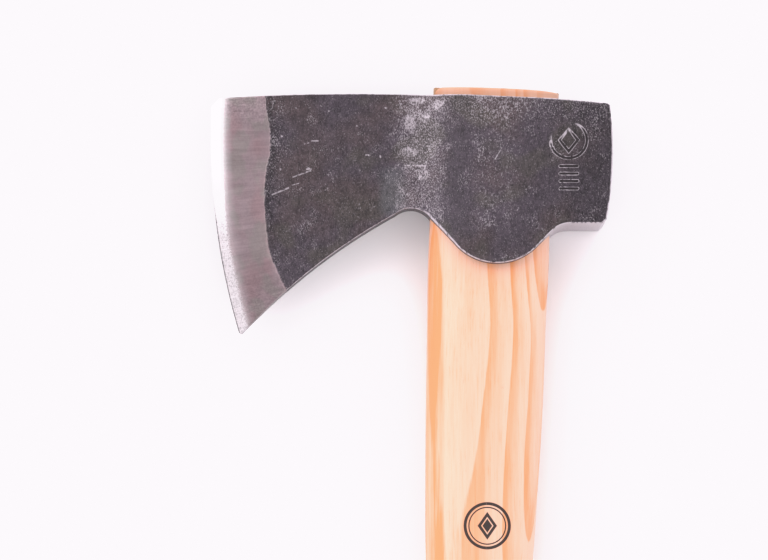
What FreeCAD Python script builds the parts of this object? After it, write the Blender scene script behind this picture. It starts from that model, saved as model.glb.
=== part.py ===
"""Carving hatchet: a forged steel head, wedged onto a curved hickory haft.

Millimetres. The hatchet lies on its cheek, on the plane Z = 0. The origin is the point of that
plane under the middle of the eye. +X runs from the eye to the poll, so the cutting edge is on
-X. +Y runs along the haft and out of the top of the head. +Z leaves the upper cheek.

Four pieces: the head, the haft, the wooden wedge in the haft's kerf, and the three-pronged
steel wedge that is driven across it.
"""
import FreeCAD, Part
import math
import os
from FreeCAD import Vector

# Driving dimensions of the head.
CHEEK_WIDTH = 28.0          # across the cheeks, at the eye and the poll
EDGE_X = -97.8              # foremost point of the cutting edge
EDGE_Y = 15.8               # height of that point, and of the centre that the edge is drawn from
EDGE_RADIUS = 243.0         # sweep of the cutting edge
TOE_Y = 26.2                # upper end of the cutting edge
HEEL_Y = -53.6              # lower end of the cutting edge
TOE_CLIP = (2.4, 2.7)       # how far the toe is clipped back, and the rise of that clip
HEEL_CLIP = (1.1, -0.7)     # the same at the heel
POLL_X = 42.3               # back of the poll
POLL_LINE_Y = 7.0           # height of its foremost point
POLL_TOP = (41.6, 25.4)     # square corners of the poll, before they are clipped
POLL_BOTTOM = (40.1, -16.7)
POLL_CLIPS = (0.8, 1.6)      # clips of the upper and the lower corner
LUG_CENTRE = (2.2, -11.5)   # rounded ears that run down the haft
LUG_RADIUS = 19.0
LUG_FRONT_TURN = -51.0      # ends of the lug's round, in degrees from straight down
LUG_BACK_TURN = 50.0

# Places that the side view passes between those.
TOP_LINE = ((-62.0, 29.8), (-32.0, 29.6), (3.0, 27.9), (22.0, 27.0))
BEARD_MIDDLE = (-58.0, -28.5)
NECK_FRONT = (-33.2, -12.5)
NECK_NOTCH = (-27.6, -10.5)
NECK_BACK = (-20.7, -14.4)
HEEL_OF_LUG = ((20.5, -20.0), (23.4, -17.7), (28.1, -16.7))

# Driving dimensions of the blade's section.
EDGE_THICKNESS = 0.3        # a sharp edge, as thick as a solid can still show
HONED_WIDTH = 5.0           # narrow honed bevel at the edge
HONED_THICKNESS = 3.2       # blade thickness where the honed bevel ends
GROUND_WIDTH = 19.0         # whole ground band, from the edge
GROUND_THICKNESS = 7.4      # blade thickness where the ground band ends
FORGED_THICKNESS = 7.0      # thickness there that the forged taper of the blade aims at
TAPER_START = (-10.0, 2.6)  # start of that taper: how far ahead of the edge, and half its width
NECK_SLOPE = 2.0            # degrees that each side of the blade opens towards the neck
NECK_THICKNESS = 10.0       # blade thickness just ahead of the eye
NECK_X = -32.0              # where the neck starts to widen into the eye
SWELL_X = -18.5             # where that hollow turns into the round of the cheek
SWELL_HALF = 8.9            # half the head's width there
FLAT_X = -2.0               # from here to the poll the cheeks are flat

# Driving dimensions of the haft and its wedges.
HAFT_END_Y = -308.0
HAFT_END_ROUND = 4.5
HAFT_TOP_Y = 32.2           # front of the sawn top, 3 mm above the head
HAFT_TOP_SLOPE = 2.7        # degrees that the sawn top falls towards the poll
SECTION_POWER = 2.35        # 2 is an ellipse, more is squarer
SECTION_EGG = 0.10          # how much thinner the haft is at its front than at its back
SECTION_POINTS = 28
WEDGE_WIDTH_TOP = 6.0       # opening of the kerf at the middle of the sawn top
WEDGE_LENGTH = 34.0
KERF_WIDTH = 1.0
KERF_LENGTH = 41.0
PRONG_LENGTH = 8.2          # reach of each prong of the steel wedge
PRONG_THICKNESS = 1.8
PRONG_TIP = 0.4
PRONG_DEPTH = 14.0
PRONG_TURNS = (90.0, 210.0, 330.0)

MID_Z = CHEEK_WIDTH / 2.0
EDGE_CENTRE_X = EDGE_X + EDGE_RADIUS
TOP_MIDDLE_Y = HAFT_TOP_Y - 1.1    # height of the sawn top at the middle of the eye
BLANK_TOP_Y = 38.0          # the haft and its wedges are made this long, then sawn off
TOOL_REACH = 60.0           # how far a cutting block runs past what it cuts
OVERLAP = 1.0               # how far the two halves of the head's plan run into each other
BEZIER_REACH = 0.45         # how far along the hollow of the neck each end's slope holds
DISC_CHAMFER = 9.0          # width over which the bevel disc opens past the blade

# Stations down the haft: height, front face, back face, thickness across the cheeks.
HAFT_STATIONS = (
    (BLANK_TOP_Y, -19.6, 24.9, 21.2),
    (26.0, -19.9, 24.0, 20.6),
    (8.0, -20.4, 22.6, 19.8),
    (-12.0, -21.0, 21.1, 19.6),
    (-30.0, -21.8, 20.5, 20.2),
    (-50.0, -22.1, 19.4, 22.6),
    (-77.0, -22.5, 18.3, 24.2),
    (-105.0, -22.7, 16.6, 24.2),
    (-133.0, -22.6, 14.5, 23.4),
    (-165.0, -21.2, 11.0, 22.2),
    (-198.0, -18.8, 9.4, 21.4),
    (-228.0, -16.6, 10.8, 21.6),
    (-255.0, -16.4, 13.8, 22.8),
    (-276.0, -18.9, 16.6, 24.8),
    (-292.0, -22.6, 17.8, 26.4),
    (HAFT_END_Y, -24.4, 16.4, 26.2),
)


def arc(first, middle, last):
    """Arc through three points of the XY plane."""
    return Part.Arc(*(Vector(x, y, 0) for x, y in (first, middle, last))).toShape()


def line(first, last):
    return Part.LineSegment(Vector(*first, 0), Vector(*last, 0)).toShape()


def smooth(points):
    """Spline through points of the XY plane."""
    curve = Part.BSplineCurve()
    curve.interpolate([Vector(x, y, 0) for x, y in points])
    return curve.toShape()


def on_edge(y):
    """Point of the cutting edge at height y."""
    rise = y - EDGE_Y
    return EDGE_CENTRE_X - math.sqrt(EDGE_RADIUS**2 - rise**2), y


def on_lug(degrees):
    """Point of the lug's round, from straight down, positive towards the poll."""
    turn = math.radians(degrees)
    x, y = LUG_CENTRE
    return x + LUG_RADIUS * math.sin(turn), y - LUG_RADIUS * math.cos(turn)


def head_outline():
    """The head seen from its cheek, from the heel round by the edge, the top and the poll."""
    heel, toe = on_edge(HEEL_Y), on_edge(TOE_Y)
    top_clip, bottom_clip = POLL_CLIPS
    top_front = (toe[0] + TOE_CLIP[0], toe[1] + TOE_CLIP[1])
    beard_end = (heel[0] + HEEL_CLIP[0], heel[1] + HEEL_CLIP[1])
    top_back = (POLL_TOP[0] - top_clip, POLL_TOP[1])
    poll_top = (POLL_TOP[0], POLL_TOP[1] - top_clip)
    poll_bottom = (POLL_BOTTOM[0], POLL_BOTTOM[1] + bottom_clip)
    under_poll = (POLL_BOTTOM[0] - bottom_clip, POLL_BOTTOM[1])
    lug_back, lug_front = on_lug(LUG_BACK_TURN), on_lug(LUG_FRONT_TURN)
    fillet_low, fillet_middle, fillet_end = HEEL_OF_LUG
    edges = [
        arc(heel, (EDGE_X, EDGE_Y), toe),
        line(toe, top_front),
        smooth([top_front, *TOP_LINE, top_back]),
        line(top_back, poll_top),
        arc(poll_top, (POLL_X, POLL_LINE_Y), poll_bottom),
        line(poll_bottom, under_poll),
        line(under_poll, fillet_end),
        arc(fillet_end, fillet_middle, fillet_low),
        line(fillet_low, lug_back),
        arc(lug_back, on_lug(0.0), lug_front),
        line(lug_front, NECK_BACK),
        arc(NECK_BACK, NECK_NOTCH, NECK_FRONT),
        arc(NECK_FRONT, BEARD_MIDDLE, beard_end),
        line(beard_end, heel),
    ]
    return Part.Wire(Part.__sortEdges__(edges))


def half_plan():
    """Upper half of the head seen along the haft, as a face in the XZ plane about Z = 0.

    The blade's taper, then the hollow of the neck, then the round of the cheek, then the flat
    of the cheek as far as the poll. The last three run smoothly into each other.
    """
    half = CHEEK_WIDTH / 2.0
    run = FLAT_X - SWELL_X
    drop = half - SWELL_HALF
    swell_radius = (run**2 + drop**2) / (2.0 * drop)
    slope = math.asin(run / swell_radius)
    mid_turn = slope / 2.0
    round_middle = (
        FLAT_X - swell_radius * math.sin(mid_turn),
        half - swell_radius * (1.0 - math.cos(mid_turn)),
    )
    blade_half = NECK_THICKNESS / 2.0
    shoulder = (EDGE_X + GROUND_WIDTH, FORGED_THICKNESS / 2.0)
    front = (EDGE_X + TAPER_START[0], TAPER_START[1])
    back = POLL_X + TOOL_REACH
    hollow = smooth_between(
        (NECK_X, blade_half), NECK_SLOPE, (SWELL_X, SWELL_HALF), math.degrees(slope)
    )
    edges = [
        line((front[0], -OVERLAP), front),
        line(front, shoulder),
        line(shoulder, (NECK_X, blade_half)),
        hollow,
        arc((SWELL_X, SWELL_HALF), round_middle, (FLAT_X, half)),
        line((FLAT_X, half), (back, half)),
        line((back, half), (back, -OVERLAP)),
        line((back, -OVERLAP), (front[0], -OVERLAP)),
    ]
    return Part.Face(Part.Wire(edges))


def smooth_between(first, first_slope, last, last_slope):
    """Bezier from one point to the other that leaves and arrives at the slopes, in degrees."""
    reach = (last[0] - first[0]) * BEZIER_REACH
    leave, arrive = math.radians(first_slope), math.radians(last_slope)
    poles = [
        first,
        (first[0] + reach, first[1] + reach * math.tan(leave)),
        (last[0] - reach, last[1] - reach * math.tan(arrive)),
        last,
    ]
    curve = Part.BezierCurve()
    curve.setPoles([Vector(x, y, 0) for x, y in poles])
    return curve.toShape()


def plan_block():
    """Everything inside the head's width, as seen along the haft."""
    face = half_plan()
    face.rotate(Vector(0, 0, 0), Vector(1, 0, 0), 90)
    upper = face.extrude(Vector(0, 3 * TOOL_REACH, 0))
    upper.translate(Vector(0, -1.5 * TOOL_REACH, MID_Z))
    lower = upper.mirror(Vector(0, 0, MID_Z), Vector(0, 0, 1))
    return upper.fuse(lower).removeSplitter()


def bevel_disc():
    """A disc whose rim is the cutting edge, thinned by the honed and the ground bevel."""
    honed = EDGE_RADIUS - HONED_WIDTH
    ground = EDGE_RADIUS - GROUND_WIDTH
    half = [
        (0.0, TOOL_REACH),
        (ground - DISC_CHAMFER, TOOL_REACH),
        (ground, GROUND_THICKNESS / 2.0),
        (honed, HONED_THICKNESS / 2.0),
        (EDGE_RADIUS, EDGE_THICKNESS / 2.0),
    ]
    section = half + [(r, -z) for r, z in reversed(half)]
    wire = Part.makePolygon([Vector(r, 0, z) for r, z in section + section[:1]])
    disc = Part.Face(wire).revolve(Vector(0, 0, 0), Vector(0, 0, 1), 360)
    disc.translate(Vector(EDGE_CENTRE_X, EDGE_Y, MID_Z))
    return disc


def haft_section(y, front, back, thickness):
    """Egg-shaped closed curve at height y: a superellipse, a little thinner at its front."""
    centre, reach = (front + back) / 2.0, (back - front) / 2.0
    power = 2.0 / SECTION_POWER
    points = []
    for step in range(SECTION_POINTS):
        turn = 2.0 * math.pi * step / SECTION_POINTS
        across = math.copysign(abs(math.cos(turn)) ** power, math.cos(turn))
        up = math.copysign(abs(math.sin(turn)) ** power, math.sin(turn))
        egg = 1.0 + SECTION_EGG * across
        points.append(Vector(centre + reach * across, y, MID_Z + thickness / 2.0 * up * egg))
    curve = Part.BSplineCurve()
    curve.interpolate(points, PeriodicFlag=True)
    return Part.Wire(curve.toShape())


def top_block():
    """Everything under the sawn top of the haft."""
    front_x = HAFT_STATIONS[0][1]
    block = Part.makeBox(
        4 * TOOL_REACH, 8 * TOOL_REACH, 4 * TOOL_REACH,
        Vector(-2 * TOOL_REACH, -8 * TOOL_REACH, -2 * TOOL_REACH),
    )
    block.rotate(Vector(0, 0, 0), Vector(0, 0, 1), -HAFT_TOP_SLOPE)
    block.translate(Vector(front_x, HAFT_TOP_Y, MID_Z))
    return block


def whole_haft():
    """The haft with its eased butt and sawn top, before the kerf is cut."""
    blank = Part.makeLoft([haft_section(*s) for s in HAFT_STATIONS], True, False)
    butt = [e for e in blank.Edges if abs(e.CenterOfMass.y - HAFT_END_Y) < 0.5]
    return blank.makeFillet(HAFT_END_ROUND, butt).common(top_block())


def taper_along_y(middle_width, tip_width, depth, length_x, start_x):
    """Wedge-shaped prism about MID_Z that runs along X and thins down -Y.

    It has its middle width at the sawn top, goes on above it to the top of the blank, and
    reaches its tip that depth below the sawn top.
    """
    over = BLANK_TOP_Y - TOP_MIDDLE_Y
    top_width = middle_width + (middle_width - tip_width) * over / depth
    corners = [
        (BLANK_TOP_Y, top_width / 2.0),
        (TOP_MIDDLE_Y - depth, tip_width / 2.0),
        (TOP_MIDDLE_Y - depth, -tip_width / 2.0),
        (BLANK_TOP_Y, -top_width / 2.0),
    ]
    points = [Vector(start_x, y, MID_Z + z) for y, z in corners]
    face = Part.Face(Part.makePolygon(points + points[:1]))
    return face.extrude(Vector(length_x, 0, 0))


def opened_kerf():
    """The part of the kerf that the wooden wedge fills."""
    return taper_along_y(
        WEDGE_WIDTH_TOP, KERF_WIDTH, WEDGE_LENGTH, 2 * TOOL_REACH, -TOOL_REACH
    )


def saw_cut():
    """The kerf before the wedge opens it. It runs on below the wedge's tip."""
    return taper_along_y(KERF_WIDTH, KERF_WIDTH, KERF_LENGTH, 2 * TOOL_REACH, -TOOL_REACH)


def steel_wedge():
    """Three tapered prongs that meet on one line, flush with the sawn top."""
    centre_x = (HAFT_STATIONS[1][1] + HAFT_STATIONS[1][2]) / 2.0
    prongs = None
    for turn in PRONG_TURNS:
        prong = taper_along_y(PRONG_THICKNESS, PRONG_TIP, PRONG_DEPTH, PRONG_LENGTH, 0.0)
        prong.rotate(Vector(0, 0, MID_Z), Vector(0, -1, 0), turn)
        prong.translate(Vector(centre_x, 0, 0))
        prongs = prong if prongs is None else prongs.fuse(prong)
    return prongs.removeSplitter().common(top_block())


def make_head(haft_blank):
    """The forging: its side view, its plan and its bevels, with the eye cut by the haft."""
    side = Part.Face(head_outline()).extrude(Vector(0, 0, CHEEK_WIDTH))
    forging = side.common(plan_block()).common(bevel_disc())
    return forging.cut(haft_blank).removeSplitter()


def write(name, shape):
    solids = shape.Solids
    solid = solids[0] if len(solids) == 1 else Part.makeCompound(solids)
    box = solid.optimalBoundingBox()
    print(
        f"{name}: {len(solids)} solid, valid {solid.isValid()}, {solid.Volume / 1000.0:.2f} cm3,"
        f" X {box.XMin:.1f} {box.XMax:.1f}, Y {box.YMin:.1f} {box.YMax:.1f},"
        f" Z {box.ZMin:.2f} {box.ZMax:.2f}"
    )
    solid.exportStep(f"parts/{name}.step")


def main():
    os.makedirs("parts", exist_ok=True)
    haft_blank = whole_haft()
    steel = steel_wedge()
    wood = haft_blank.common(opened_kerf()).cut(steel)
    haft = haft_blank.cut(opened_kerf()).cut(saw_cut()).cut(steel)
    write("head", make_head(haft_blank))
    write("haft", haft)
    write("eye_wedge", wood)
    write("steel_wedge", steel)


main()
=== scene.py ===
"""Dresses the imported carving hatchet: forged head, hickory haft, its two wedges and a plain stage.

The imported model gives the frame, in metres. The hatchet lies on its lower cheek on Z = 0, with the
origin under the middle of the eye. +X runs from the eye to the poll, +Y along the haft and out of
the top of the head. Surfaces are worked out in millimetres, and become meshes in metres.
"""
import itertools
import math
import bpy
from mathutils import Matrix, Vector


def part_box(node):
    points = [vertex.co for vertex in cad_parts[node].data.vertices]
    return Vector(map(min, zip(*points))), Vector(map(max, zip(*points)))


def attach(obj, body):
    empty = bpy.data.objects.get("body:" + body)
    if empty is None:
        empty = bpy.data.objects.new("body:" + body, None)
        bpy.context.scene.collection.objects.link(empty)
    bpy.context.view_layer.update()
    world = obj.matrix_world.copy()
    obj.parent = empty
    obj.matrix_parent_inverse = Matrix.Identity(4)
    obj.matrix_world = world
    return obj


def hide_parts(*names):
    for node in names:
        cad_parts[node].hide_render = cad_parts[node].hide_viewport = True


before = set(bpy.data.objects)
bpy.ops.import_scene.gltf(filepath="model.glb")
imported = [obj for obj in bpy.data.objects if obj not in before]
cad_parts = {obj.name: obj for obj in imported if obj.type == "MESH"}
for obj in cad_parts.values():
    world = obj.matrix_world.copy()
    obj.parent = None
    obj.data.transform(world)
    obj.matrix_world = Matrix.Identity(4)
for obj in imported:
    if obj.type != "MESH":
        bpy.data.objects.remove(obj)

from types import SimpleNamespace

import bmesh
import bpy
import numpy as np
from bpy.props import FloatProperty, FloatVectorProperty, PointerProperty
from bpy.types import Operator, Panel, PropertyGroup
from mathutils import Matrix, Vector

bl_info = {
    "name": "Carving Hatchet",
    "version": (1, 0, 0),
    "blender": (4, 5, 0),
    "location": "View3D > Sidebar > Hatchet",
    "description": "Builds a forged carving hatchet around its packed CAD model",
    "category": "Object",
}

MM = 0.001
WELD_REACH = 1e-7
SHARP_ANGLE = math.radians(38.0)
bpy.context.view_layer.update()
HEAD_LOW, HEAD_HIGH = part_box("head")
HAFT_LOW, HAFT_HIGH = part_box("haft")
MID_Z = (HEAD_LOW.z + HEAD_HIGH.z) / 2.0 / MM

# Places of the head's side view, in millimetres, as the CAD model has them.
TOE_CLIP = (2.4, 2.7)
HEEL_CLIP = (1.1, -0.7)
TOP_LINE = ((-62.0, 29.8), (-32.0, 29.6), (3.0, 27.9), (22.0, 27.0))
BEARD_MIDDLE = (-58.0, -28.5)
NECK_FRONT, NECK_NOTCH, NECK_BACK = (-33.2, -12.5), (-27.6, -10.5), (-20.7, -14.4)
LUG_CENTRE, LUG_RADIUS, LUG_TURNS = (2.2, -11.5), 19.0, (-51.0, 50.0)
LUG_HEEL = ((20.5, -20.0), (23.4, -17.7), (28.1, -16.7))
POLL_TOP, POLL_BOTTOM, POLL_LINE_Y, POLL_CLIPS = (41.6, 25.4), (40.1, -16.7), 7.0, (0.8, 1.6)

# The head's plan: where the neck hollows out, where the cheek rounds over, and where it is flat.
NECK_X, SWELL_X, SWELL_HALF, FLAT_X = -32.0, -18.5, 8.9, -2.0
FORGED_HALF, FORGED_TAPER, NECK_SLOPE = 3.5, 0.031, 2.0

# How softly the turn between the two bevels and the one to the cheek are rubbed down, and the
# slope that takes the bevel off the blade behind the ground band.
BEVEL_SOFTNESS, CHEEK_SOFTNESS, RELEASE_SLOPE = 0.22, 0.12, 1.2

# Width of the whole ground band at heights along the edge: its border wanders.
BAND_WIDTHS = (
    (-60.0, 22.0), (-38.0, 19.8), (-31.0, 18.0), (-27.0, 17.1), (-19.0, 17.2), (-3.5, 18.2),
    (1.4, 18.9), (8.0, 20.5), (17.5, 20.8), (24.0, 19.6), (32.0, 18.4),
)

# Grid of the cheek: length and number of cells of each stretch, from the edge to the poll and from
# the beard to the top.
COLUMN_RUNS = ((5.0, 12), (14.0, 24), (48.0, 80), (52.0, 104), (16.0, 58), (3.0, 8), (1.2, 7))
ROW_RUNS = ((0.9, 6), (2.4, 6), (50.0, 112), (2.4, 6), (0.9, 6))
RIM_ROWS = 11

# Forged relief: sizes of broad and small facets, pits and pitted patches, and a seed per cheek.
FACET_SIZES, PIT_SIZE, PATCH_SIZE, CHEEK_SEEDS = (11.0, 5.0), 1.3, 14.0, (11, 41)

# Struck mark on the upper cheek: ring with a diamond in it, and plain bars under it.
STAMP_CENTRE, STAMP_RADIUS, STAMP_LINE = (27.0, 12.3), 6.3, 0.42
STAMP_BARS = ((27.0, 3.2), (27.0, 0.6), (27.0, -2.0), (27.0, -4.6))
STAMP_BAR_REACH = 3.0

# On the upper cheek: scratches, from end to end with a half width, and places where the scale
# has flaked off, each a middle, two half sizes and how ragged it is.
SCRATCHES = (
    (-76.0, -5.5, -70.4, -3.2, 0.40), (-68.8, 0.6, -62.7, 2.8, 0.30),
    (-69.6, -2.4, -66.8, -1.6, 0.22), (-62.3, 13.3, -59.9, 13.3, 0.30),
    (-64.9, 12.2, -63.3, 12.6, 0.20), (-29.7, 4.5, -22.5, 4.3, 0.38),
    (-22.9, 3.1, -22.3, 5.6, 0.34), (-25.0, -0.6, -24.0, 0.6, 0.35), (1.5, 5.6, 3.4, 8.8, 0.25),
)
CHIPS = (
    (-27.8, 19.6, 2.3, 3.2, 1.0), (-18.2, 25.4, 2.6, 1.8, 1.0), (-28.3, 9.5, 2.6, 1.6, 1.0),
    (-22.0, 21.7, 1.4, 1.3, 0.8), (-25.5, 27.0, 2.5, 1.3, 1.0), (-24.8, 0.6, 0.7, 0.7, 0.4),
    (-67.8, 24.8, 0.36, 0.32, 0.3), (-72.7, 15.1, 0.42, 0.34, 0.3), (-73.2, 3.4, 0.32, 0.42, 0.3),
    (-63.3, 3.4, 0.9, 0.5, 0.8), (-42.8, 8.2, 1.0, 0.28, 0.4), (-38.3, 7.7, 0.30, 0.65, 0.4),
    (-36.4, 24.8, 0.55, 0.32, 0.3), (-46.5, 18.5, 0.28, 0.30, 0.3),
    (-56.3, 23.8, 0.28, 0.40, 0.3),
)

# Haft: height, front face, back face and thickness of each section.
HAFT_STATIONS = (
    (-308.0, -24.4, 16.4, 26.2), (-292.0, -22.6, 17.8, 26.4), (-276.0, -18.9, 16.6, 24.8),
    (-255.0, -16.4, 13.8, 22.8), (-228.0, -16.6, 10.8, 21.6), (-198.0, -18.8, 9.4, 21.4),
    (-165.0, -21.2, 11.0, 22.2), (-133.0, -22.6, 14.5, 23.4), (-105.0, -22.7, 16.6, 24.2),
    (-77.0, -22.5, 18.3, 24.2), (-50.0, -22.1, 19.4, 22.6), (-30.0, -21.8, 20.5, 20.2),
    (-12.0, -21.0, 21.1, 19.6), (8.0, -20.4, 22.6, 19.8), (26.0, -19.9, 24.0, 20.6),
    (38.0, -19.6, 24.9, 21.2),
)
SECTION_POWER, SECTION_EGG = 2.35, 0.10
HAFT_AROUND, HAFT_STEP, EASE_STEPS = 132, 1.1, 9
EYE_ROWS, EYE_AROUND = (-42.0, 40.0, 60), 120

# The sawn top: its slope, and how far and over what reach its front corner is rubbed down.
TOP_SLOPE, CORNER_DROP, CORNER_REACH = math.tan(math.radians(2.7)), 1.5, 3.2

# Growth rings: the path of the pith, and the radius of each ring's inner side.
PITH_PATH = (
    (-308.0, -3.0, 3.6), (-220.0, -5.5, 3.9), (-160.0, -6.8, 4.6), (-128.0, -7.0, 5.2),
    (-98.0, -6.3, 5.8), (-74.0, -5.4, 6.2), (-52.0, -4.8, 5.85), (-32.0, -5.2, 4.55),
    (33.0, -5.6, 3.4),
)
RING_RADII = (0.0, 2.3, 4.8, 7.4, 10.1, 12.7, 15.2, 17.6, 20.0, 22.9, 25.4, 26.8, 29.4, 32.0)

# Plain mark burned into the haft: its middle, the radii of its two rings, and the half width and
# hollow of its diamond.
BURN_CENTRE, BURN_RADII, BURN_DIAMOND, BURN_HOLLOW = (-1.5, -121.0), (7.6, 6.3), 3.5, 1.9

# Wedges: width at the sawn top and at the tip, and depth. The kerf's cutter reaches past the haft
# on both sides, and all the cutters start in the air above it.
KERF, PRONG = (6.0, 1.0, 34.0), (1.8, 0.4, 14.0)
KERF_START, KERF_LENGTH = -60.0, 120.0
PRONG_LENGTH, PRONG_TURNS = 8.2, (90.0, 210.0, 330.0)
SAWN_TOP_Y, BLANK_TOP_Y = HAFT_HIGH.y / MM - 1.1, 38.0

# Fixed tones of the finishes, as red, green and blue in linear light.
OLIVE_SCALE, SMEARED_SCALE = (0.049, 0.043, 0.037), (0.074, 0.076, 0.082)
# The last of these is steel rubbed bare on the arrises, partly painted highlight.
FLECK, SCRATCH, ARRIS_WEAR_AND_HIGHLIGHT = (0.34, 0.31, 0.33), (0.40, 0.365, 0.39), (0.55, 0.50, 0.54)
# Painted shade in the struck mark's floor, and painted highlight on its lips.
STAMP_SHADE, STAMP_HIGHLIGHT = (0.016, 0.012, 0.014), (0.42, 0.38, 0.41)
# The second is the honed bevel's painted shade towards the heel.
DULL_GROUND, SHADED_HONED = (0.218, 0.192, 0.186), (0.43, 0.405, 0.415)
DARK_RIM, PALE_RIM, FORGED_FACE = (0.33, 0.30, 0.325), (0.60, 0.55, 0.59), (0.055, 0.046, 0.052)
# The second is painted shade on the haft just above the head's top.
WOOD_PORE, HEAD_SHADE_ON_HAFT = (0.36, 0.17, 0.085), (0.42, 0.20, 0.11)
END_RING, END_PORE = (0.31, 0.155, 0.08), (0.15, 0.075, 0.04)
WEDGE_FIBRE, WEDGE_PORE = (0.35, 0.20, 0.105), (0.08, 0.04, 0.02)
WEDGE_RUST, WEDGE_SHINE = (0.20, 0.14, 0.11), (0.60, 0.60, 0.62)

# Tones, in linear light: what each brightness is shown as at the shoulder, and the share of its
# green that stays.
TONE_SHOULDER = (
    (0.72, 0.72), (0.90, 0.92), (1.06, 0.958), (1.35, 0.974), (1.62, 0.974), (2.0, 1.0),
)
GREEN_SHARE = 0.973

# Surroundings: the middle of the dim opening overhead, the cosines of its outer and inner rim,
# the side that more light comes from, and how much more.
OPENING_AXIS, OPENING_COSINES = (-0.03, 0.11, 0.993), (0.866, 0.940)
BRIGHT_SIDE, BRIGHT_SHARE = (-0.35, 0.75, 0.0), 0.22

# Stage, in metres: the key light's side, place and target, the camera's place and target, and
# half the tabletop's side with how far it lies below the hatchet. The sensor is in millimetres.
KEY_SIDE, KEY_COLOUR = 1.2, (1.0, 0.99, 0.98)
KEY_PLACE, KEY_TARGET = (-0.70, 0.75, 1.15), (-0.02, -0.02, 0.01)
CAMERA_PLACE, CAMERA_TARGET = (-0.030, -0.142, 1.214), (-0.03706, -0.03515, 0.014)
SENSOR_WIDTH = 36.0
TABLE_HALF, TABLE_DROP = 4.0, 0.02 * MM


# ---- settings


def length(name, description, millimetres):
    return FloatProperty(
        name=name, description=description, default=millimetres * MM, unit="LENGTH", precision=4
    )


def colour(name, description, *rgb):
    return FloatVectorProperty(
        name=name, description=description, default=rgb, subtype="COLOR", min=0.0, max=1.0
    )


class HatchetHeadSettings(PropertyGroup):
    edge_front: length("Edge front", "Foremost point of the cutting edge, on X", HEAD_LOW.x / MM)
    edge_middle: length("Edge middle", "Height of that point, on Y", 15.8)
    edge_radius: length("Edge radius", "Sweep of the cutting edge", 243.0)
    toe: length("Toe", "Upper end of the cutting edge, on Y", 26.2)
    heel: length("Heel", "Lower end of the cutting edge, on Y", -53.6)
    poll_back: length("Poll back", "Rearmost point of the poll, on X", HEAD_HIGH.x / MM)
    cheek_width: length("Cheek width", "Across the cheeks", (HEAD_HIGH.z - HEAD_LOW.z) / MM)
    edge_thickness: length("Edge thickness", "Steel left at the very edge", 0.3)
    honed_width: length("Honed width", "Width of the honed bevel", 5.0)
    honed_thickness: length("Honed thickness", "Thickness where the honed bevel ends", 3.2)
    ground_width: length("Ground width", "From the edge to where the forged taper starts", 19.0)
    neck_thickness: length("Neck thickness", "Blade thickness just ahead of the eye", 10.0)
    rim_round: length("Rim round", "Round of the cheeks' rims at the eye", 1.2)
    crown: length("Crown", "How much lower the cheek is at the poll than at the eye", 0.4)
    hammer_depth: length("Hammer depth", "Depth of the hammer's facets", 0.12)
    pit_depth: length("Pit depth", "Depth of the pits in the scale", 0.07)
    stamp_depth: length("Stamp depth", "Depth of the struck mark", 0.4)
    eye_gap: length("Eye gap", "Shadow line between the eye and the haft", 0.12)
    scale_colour: colour("Scale", "Forge scale of the cheeks", 0.047, 0.037, 0.047)
    scale_warm: colour("Warm scale", "Brown patches in the scale", 0.053, 0.038, 0.041)
    ground_colour: colour("Ground steel", "Ground band behind the edge", 0.250, 0.198, 0.208)
    rosy_colour: colour("Rosy steel", "Warmer patches of the ground band", 0.245, 0.172, 0.180)
    honed_colour: colour("Honed steel", "Honed bevel and polished edge", 0.95, 0.94, 0.96)


class HatchetHaftSettings(PropertyGroup):
    end_round: length("End round", "Round of the knob's end", 4.5)
    end_dome: length("End dome", "How far the knob's end is domed", 1.0)
    top_round: length("Top round", "Eased rim of the sawn top", 0.6)
    top_gap: length("Top gap", "How far the wedges stand out of the sawn top", 0.12)
    kerf_gap: length("Kerf gap", "Shadow line around the wedges", 0.07)
    waviness: length("Waviness", "Unevenness of the hand-finished surface", 0.12)
    early_wood: colour("Early wood", "Pale part of each growth ring", 0.64, 0.395, 0.290)
    late_wood: colour("Late wood", "Orange part of each growth ring", 0.60, 0.235, 0.090)
    end_grain: colour("End grain", "Sawn ends of the haft", 0.44, 0.27, 0.16)
    burn: colour("Burn", "Burned-in mark", 0.012, 0.008, 0.007)


class HatchetWedgeSettings(PropertyGroup):
    wood: colour("Wedge wood", "Hardwood wedge in the kerf", 0.40, 0.24, 0.125)
    steel: colour("Wedge steel", "Three-pronged steel wedge", 0.42, 0.42, 0.44)


class HatchetStageSettings(PropertyGroup):
    floor: colour("Floor", "Pale tabletop", 0.80, 0.795, 0.80)
    world: colour("Surroundings", "Light from all round", 1.0, 0.985, 1.0)
    opening: colour("Opening", "Dim opening overhead", 0.26, 0.24, 0.26)
    world_strength: FloatProperty(
        name="Surroundings strength", description="Brightness all round", default=2.0, min=0.0
    )
    key_power: FloatProperty(
        name="Key power", description="Soft light from the upper left", default=5.0, min=0.0,
        unit="POWER",
    )
    lens: FloatProperty(
        name="Lens", description="Focal length in millimetres", default=161.7, min=1.0,
        unit="CAMERA",
    )


def in_millimetres(settings):
    """The settings' lengths as plain numbers in the surfaces' unit."""
    rows = settings.bl_rna.properties.items()
    return SimpleNamespace(
        **{name: getattr(settings, name) / MM for name, row in rows if row.unit == "LENGTH"}
    )


# ---- curves and noise


def smoothstep(low, high, value):
    """0 below low, 1 above high, and the cubic 3t^2 - 2t^3 between them."""
    part = np.clip((value - low) / (high - low), 0.0, 1.0)
    return part * part * (3.0 - 2.0 * part)


def arc(first, middle, last):
    """200 points on the circle through three points, from the first to the last.

    The points are complex numbers. The circle's centre is worked out from the ratio of the two
    chords that leave the first point, and the points turn about it in equal steps.
    """
    a, b, c = (complex(*point) for point in (first, middle, last))
    ratio = (c - a) / (b - a)
    centre = a + (b - a) * (ratio - abs(ratio) ** 2) / (2j * ratio.imag)
    turn = np.angle((c - centre) / (a - centre))
    points = centre + (a - centre) * np.exp(1j * turn * np.linspace(0.0, 1.0, 200))
    return np.column_stack([points.real, points.imag])


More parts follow.
